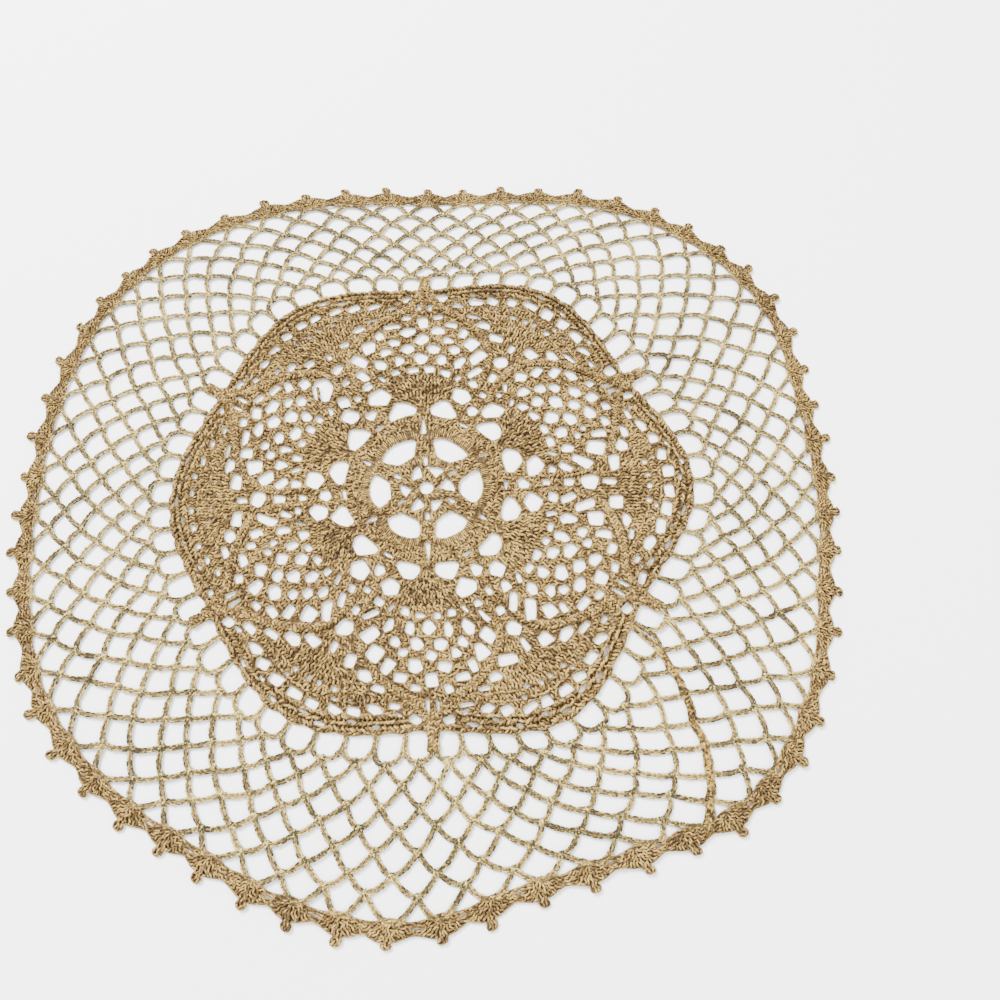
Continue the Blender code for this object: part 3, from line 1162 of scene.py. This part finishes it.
def knots(k):
    """Strands wrapped over each meeting point at the top of a round."""
    routes = []
    for j in range(LOOPS):
        at, level = node(k, j)
        place = lay_net(at, level)
        out = lay_net(at, level + 0.02) - place
        out /= np.hypot(*out)
        for lean, rise in KNOT_STRANDS:
            way = turned(out, lean + vary.uniform(-12, 12)) * vary.uniform(0.75, 1.0) * MM
            top = NET_HEIGHT + (0.50 + rise) * MM
            low = NET_HEIGHT - 0.05 * MM
            points = [(*(place - way), low), (*place, top), (*(place + way), low)]
            routes.append((np.array(points), KNOT_FAT))
    return routes


def net_rounds(rounds):
    """The chains and knots of some of the net's rounds. The last round has no knots."""
    routes = []
    for k in rounds:
        for line in net_lines(k):
            routes += chain(line, NET_HEIGHT)
        if k < NET_ROUNDS:
            routes += knots(k)
    return routes


inner_net = piece_of("inner_net", net_rounds(range(4)))
outer_net = piece_of("outer_net", net_rounds(range(4, NET_ROUNDS + 1)))

# %% [markdown]
# ## The border's shells and picots
#
# The stitches of a shell all stand in one loop, so their heads lie in half rings round it. Where two shells
# meet, a head belongs to the nearer one. The outline's edge strand draws the picots.

# %% Border piece
BORDER_RISE = 0.45 * MM
SHELL_PITCH = 0.88 * MM
SHELL_RINGS = np.arange(1.2, 9.0, 0.98) * MM  # from the shell's root
SHELL_HALF = 100  # degrees on each side of outward


def shell_heads():
    """Heads in half rings round each shell's root, highest in the shell's middle."""
    routes = []
    roots = lay_net(PITCH * np.arange(LOOPS), np.ones(LOOPS), 0.2 * MM)
    for j, root in enumerate(roots):
        out = lay_net(PITCH * j, 1.0, 2 * MM) - root
        out /= np.hypot(*out)
        for row, reach in enumerate(SHELL_RINGS):
            bearings = np.linspace(-SHELL_HALF, SHELL_HALF, max(round(3.5 * reach / SHELL_PITCH), 5))
            bearings += vary.uniform(-0.2, 0.2, len(bearings)) * (bearings[1] - bearings[0])
            for bearing in bearings:
                way = turned(out, bearing)
                place = root + way * reach
                if np.hypot(*(roots - place).T).min() < reach - 0.3 * MM:
                    continue
                crown = math.exp(-((bearing / 55) ** 2)) * math.exp(-(((reach / MM - 3.2) / 3.0) ** 2))
                lean = (24 if row % 2 else -24) + vary.normal(0, 14)
                routes += head(place, way, lean, (1.5 * crown - 0.1) * BORDER_RISE, 1.5 * MM)
    return routes


border_edges = []
for outline in BORDER_OUTLINES:
    border_edges += edge_strand(outline, OUTER_EDGE_HEIGHT)
picot_border = piece_of("picot_border", shell_heads() + border_edges)

# %% [markdown]
# ## The climbing chain and two loose ends
#
# Crochet is worked in closed rounds, so after each one the thread climbs to the next. The climbs line up as
# a thick, wavy cord across the net, thinner between its nodes. Beyond it the last of the thread sticks out of
# the border, and in one pineapple the broken strand curls into its gap.

# %% Climbing chain
CLIMB_THICKENS = 11 * MM  # from where it starts
WOUND_PITCH = 0.62  # mm from one strand wound round it to the next

# Distances from the rose's middle as shares, and laid directions.
THREAD_END = [(1.760, 311.9), (1.797, 311.7), (1.818, 311.5), (1.842, 311.5)]
BROKEN_END = [(0.622, 140.4), (0.646, 139.8), (0.674, 138.0), (0.704, 136.2)]


def placed(chart):
    """A smooth line through places charted where they lie."""
    return smooth([polar(angle, share * ROSE) for share, angle in chart])


def at_height(line, height):
    """A flat line lifted to a height."""
    return np.column_stack((line, np.full(len(line), height)))


def climbing_routes():
    """Two chains side by side through the climb's nodes, the strands wound round them, and the loose ends."""
    nodes = [node(k, climb_node(k)) for k in range(NET_ROUNDS + 1)]
    nodes = [(nodes[0][0] + 1.6, -0.06), *nodes, (nodes[-1][0] - 1.0, 1.06)]
    middle = smooth([lay_net(*place) for place in nodes], 8)
    along = run_of(middle)
    waist = 0.78 + 0.22 * np.cos(2 * np.pi * np.linspace(0, len(nodes) - 1, len(middle)))
    thick = waist * np.clip((along - CLIMB_THICKENS) / (6 * MM), 0.35, 1)
    sway = 0.35 * MM * np.sin(along / (1.7 * MM))
    routes = []
    for beside, height in ((-0.62, 0.82), (0.62, 0.96)):
        line = follow(middle, along, thick * (sway + beside * MM), np.zeros(len(along)))[:, :2]
        routes += chain(line, height * MM, 0.45 * MM)
    for at in np.arange(0.6, along[-1] / MM, WOUND_PITCH) * MM:
        wide = np.interp(at, along, thick)
        way = wide * vary.uniform(0.7, 1.45) * MM * vary.choice((-1, 1))
        places = at + vary.uniform(0.2, 0.7) * np.array([-1, 0, 1]) * MM
        up = np.array([0.70, 1.0 + wide * vary.uniform(0.0, 1.1), 0.70]) * MM
        routes.append((follow(middle, places, way * np.array([-1, 0, 1]), up), vary.uniform(1.0, 1.35)))
    routes.append((at_height(placed(THREAD_END), 0.75 * MM), 1.0))
    torn = placed(BROKEN_END)
    routes += chain(torn, 0.75 * MM, 0.34 * MM)
    routes.append((at_height(torn, 0.62 * MM), 1.6))
    return routes


climbing_chain = piece_of("climbing_chain", climbing_routes())

# %% [markdown]
# ## Colours and nodes
#
# Colours are written as sRGB hex values, as a picker shows them, and shaders want them linear. A material is
# a tree of nodes, and one small function adds a node with its settings and its links.

# %% Colours and nodes


def linear(hex_colour):
    """An sRGB hex colour as the linear values that shaders take."""
    channels = [int(hex_colour[k : k + 2], 16) / 255 for k in (1, 3, 5)]
    return (*[c / 12.92 if c <= 0.04045 else ((c + 0.055) / 1.055) ** 2.4 for c in channels], 1.0)


def add(tree, kind, settings=None, links=None):
    """A node with its settings, and the sockets or the nodes' first sockets that feed it."""
    made = tree.nodes.new("ShaderNode" + kind)
    for key, value in (settings or {}).items():
        if isinstance(key, str) and hasattr(made, key):
            setattr(made, key, value)
        else:
            made.inputs[key].default_value = value
    for key, source in (links or {}).items():
        tree.links.new(source.outputs[0] if hasattr(source, "outputs") else source, made.inputs[key])
    return made


print("parchment in linear values:", [round(c, 3) for c in linear("#AE9153")])

# %% [markdown]
# ## Unbleached cotton
#
# Mercerised crochet cotton is plies twisted together, matt with a faint sheen, and the colour of old
# parchment. Deep between the strands and in the grooves of its plies it lies in shade, and that shade is
# painted into the colour. Noises vary the colour from stitch to stitch.

# %% Cotton
MIDDLE_TONE = 0.83  # where the noises and the stitch's own tone meet on average
PLIES = 3.0
PLY_STEP = 1.6  # mm along the thread from one ply to the next, about twice the real step, so that it shows


def cotton(name, light, mid, dark, grain, contrast, deep=0.28, stitched=0.0):
    """Thread in three tones, its grain to the metre, and the light that painted shade leaves deep down."""
    material = bpy.data.materials.new(name)
    material.use_nodes = True
    tree = material.node_tree
    surface = tree.nodes["Principled BSDF"]

    # Stains are about 22 mm wide, and the grain is 0.7 to 1 mm, about as wide as a strand.
    place = add(tree, "TexCoord").outputs["Object"]
    stain = add(tree, "TexNoise", {"Scale": 45.0, "Detail": 2.0}, {"Vector": place})
    strand = add(tree, "TexNoise", {"Scale": grain, "Detail": 2.0}, {"Vector": place})
    tone = add(tree, "Attribute", {"attribute_name": "tone"}).outputs["Fac"]
    stained = add(tree, "Math", {"operation": "MULTIPLY_ADD", 1: 0.35}, {0: stain, 2: strand})
    blend = add(tree, "Math", {"operation": "MULTIPLY_ADD", 1: 0.32}, {0: tone, 2: stained})
    ramp = add(tree, "ValToRGB", None, {"Fac": blend})
    ramp.color_ramp.elements[0].position = MIDDLE_TONE - contrast
    ramp.color_ramp.elements[0].color = linear(dark)
    ramp.color_ramp.elements[1].position = MIDDLE_TONE + contrast
    ramp.color_ramp.elements[1].color = linear(light)
    ramp.color_ramp.elements.new(MIDDLE_TONE).color = linear(mid)

    # The plies wind round the thread, with painted shade in the grooves between them and a faint painted
    # highlight on their crests. Deep between the strands less light gets in, so low points are painted
    # darker.
    thread = add(tree, "UVMap", {"uv_map": "thread"})
    parts = add(tree, "SeparateXYZ", None, {0: thread}).outputs
    turns = add(tree, "Math", {"operation": "MULTIPLY", 1: PLIES}, {0: parts["X"]})
    wound = add(tree, "Math", {"operation": "MULTIPLY_ADD", 1: 1 / PLY_STEP}, {0: parts["Y"], 2: turns})
    phase = add(tree, "Math", {"operation": "MULTIPLY", 1: 2 * math.pi}, {0: wound})
    ply = add(tree, "Math", {"operation": "SINE"}, {0: phase})
    height = add(tree, "Attribute", {"attribute_name": "height"}).outputs["Fac"]
    depths = {"From Min": 0.45, "From Max": 1.20, "To Min": deep, "To Max": 1.0}
    raised = add(tree, "MapRange", depths, {"Value": height})
    ridges = {"From Min": -1.0, "From Max": 1.0, "To Min": 0.76, "To Max": 1.04}
    painted_ply_shade = add(tree, "MapRange", ridges, {"Value": ply})
    lit = add(tree, "Math", {"operation": "MULTIPLY"}, {0: raised, 1: painted_ply_shade})
    multiply = {"data_type": "RGBA", "blend_type": "MULTIPLY", 0: 1.0}
    shaded = add(tree, "Mix", multiply, {6: ramp, 7: lit})
    tree.links.new(shaded.outputs[2], surface.inputs["Base Color"])

    # The lower strands lie close, so the bumps of their stitches, 1.1 mm apart, are left to the material.
    cells = add(tree, "TexVoronoi", {"Scale": 900.0}, {"Vector": place})
    mounds = add(tree, "Math", {"operation": "MULTIPLY", 1: -1.0}, {0: cells})
    below = add(tree, "Bump", {"Strength": stitched, "Distance": 0.5 * MM}, {"Height": mounds})
    bump = add(tree, "Bump", {"Strength": 0.6, "Distance": 0.06 * MM}, {"Height": ply, "Normal": below})
    tree.links.new(bump.outputs["Normal"], surface.inputs["Normal"])
    wear = {"From Min": 0.3, "From Max": 0.7, "To Min": 0.92, "To Max": 0.72}
    rough = add(tree, "MapRange", wear, {"Value": strand})
    tree.links.new(rough.outputs["Result"], surface.inputs["Roughness"])
    surface.inputs["IOR"].default_value = 1.45
    surface.inputs["Specular IOR Level"].default_value = 0.25
    surface.inputs["Sheen Weight"].default_value = 0.05
    return material


# Dense fabric; the net's single cords, lighter as painted light let through them; the lower strands deep
# below, darker as painted shade; and the climb, darker as painted shade where its strands shade each other.
rose_cotton = cotton("rose_cotton", "#AE9153", "#826733", "#4C381B", 1000.0, 0.19, 0.44)
net_cotton = cotton("net_cotton", "#D8BE72", "#7E7243", "#2E2816", 1500.0, 0.13)
shaded_cotton = cotton("shaded_cotton", "#A08048", "#7A5E30", "#4C371A", 1300.0, 0.18, 0.50, 1.0)
climb_cotton = cotton("climb_cotton", "#AE9048", "#705728", "#2E1F0C", 1100.0, 0.15)
print(len(bpy.data.materials), "materials")

# %% [markdown]
# ## Pieces and the imported part
#
# All pieces are one cotton thread, so all stand for the one node of the imported part, which is hidden.

# %% Pieces
PIECES = {
    lower_strands: shaded_cotton,
    hub_and_petals: rose_cotton,
    fans_and_mesh: rose_cotton,
    pineapples_and_lobes: rose_cotton,
    ribbed_rim: rose_cotton,
    inner_net: net_cotton,
    outer_net: net_cotton,
    picot_border: rose_cotton,
    climbing_chain: climb_cotton,
}
for piece, material in PIECES.items():
    piece.data.materials.clear()
    piece.data.materials.append(material)
    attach(piece, "root")
    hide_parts("doily")
print(len(PIECES), "pieces")

# %% [markdown]
# ## The table and the light
#
# The doily lies on a white table, matt enough to show nothing but soft shadows. A bright white world lights
# it from all round, and two lamps give the stitches a light side.

# %% Table and light
floor_bm = bmesh.new()
bmesh.ops.create_grid(floor_bm, x_segments=1, y_segments=1, size=1.5)
floor_mesh = bpy.data.meshes.new("floor")
floor_bm.to_mesh(floor_mesh)
floor_bm.free()
floor = bpy.data.objects.new("floor", floor_mesh)
bpy.context.scene.collection.objects.link(floor)

# The real one is a plain white surface without gloss. It stays below pure white, so that shadows show on it.
floor_material = bpy.data.materials.new("white_floor")
floor_material.use_nodes = True
floor_surface = floor_material.node_tree.nodes["Principled BSDF"]
floor_surface.inputs["Base Color"].default_value = linear("#F6F6F5")
floor_surface.inputs["Roughness"].default_value = 0.9
floor.data.materials.append(floor_material)

world = bpy.data.worlds.new("studio")
world.use_nodes = True
world.node_tree.nodes["Background"].inputs["Color"].default_value = (1.0, 1.0, 1.0, 1.0)
world.node_tree.nodes["Background"].inputs["Strength"].default_value = 2.4
bpy.context.scene.world = world

LIGHTS = [
    # name, place in metres, width, power in watts
    ("key", (-0.45, 0.55, 1.00), 0.5, 56.0),
    ("fill", (0.70, -0.30, 0.90), 0.9, 14.0),
]
for name, place, width, power in LIGHTS:
    data = bpy.data.lights.new(name, "AREA")
    data.size = width
    data.energy = power
    light = bpy.data.objects.new(name, data)
    light.location = place
    light.rotation_euler = Vector(place).to_track_quat("Z", "Y").to_euler()
    bpy.context.scene.collection.objects.link(light)
print(len(LIGHTS), "lamps")
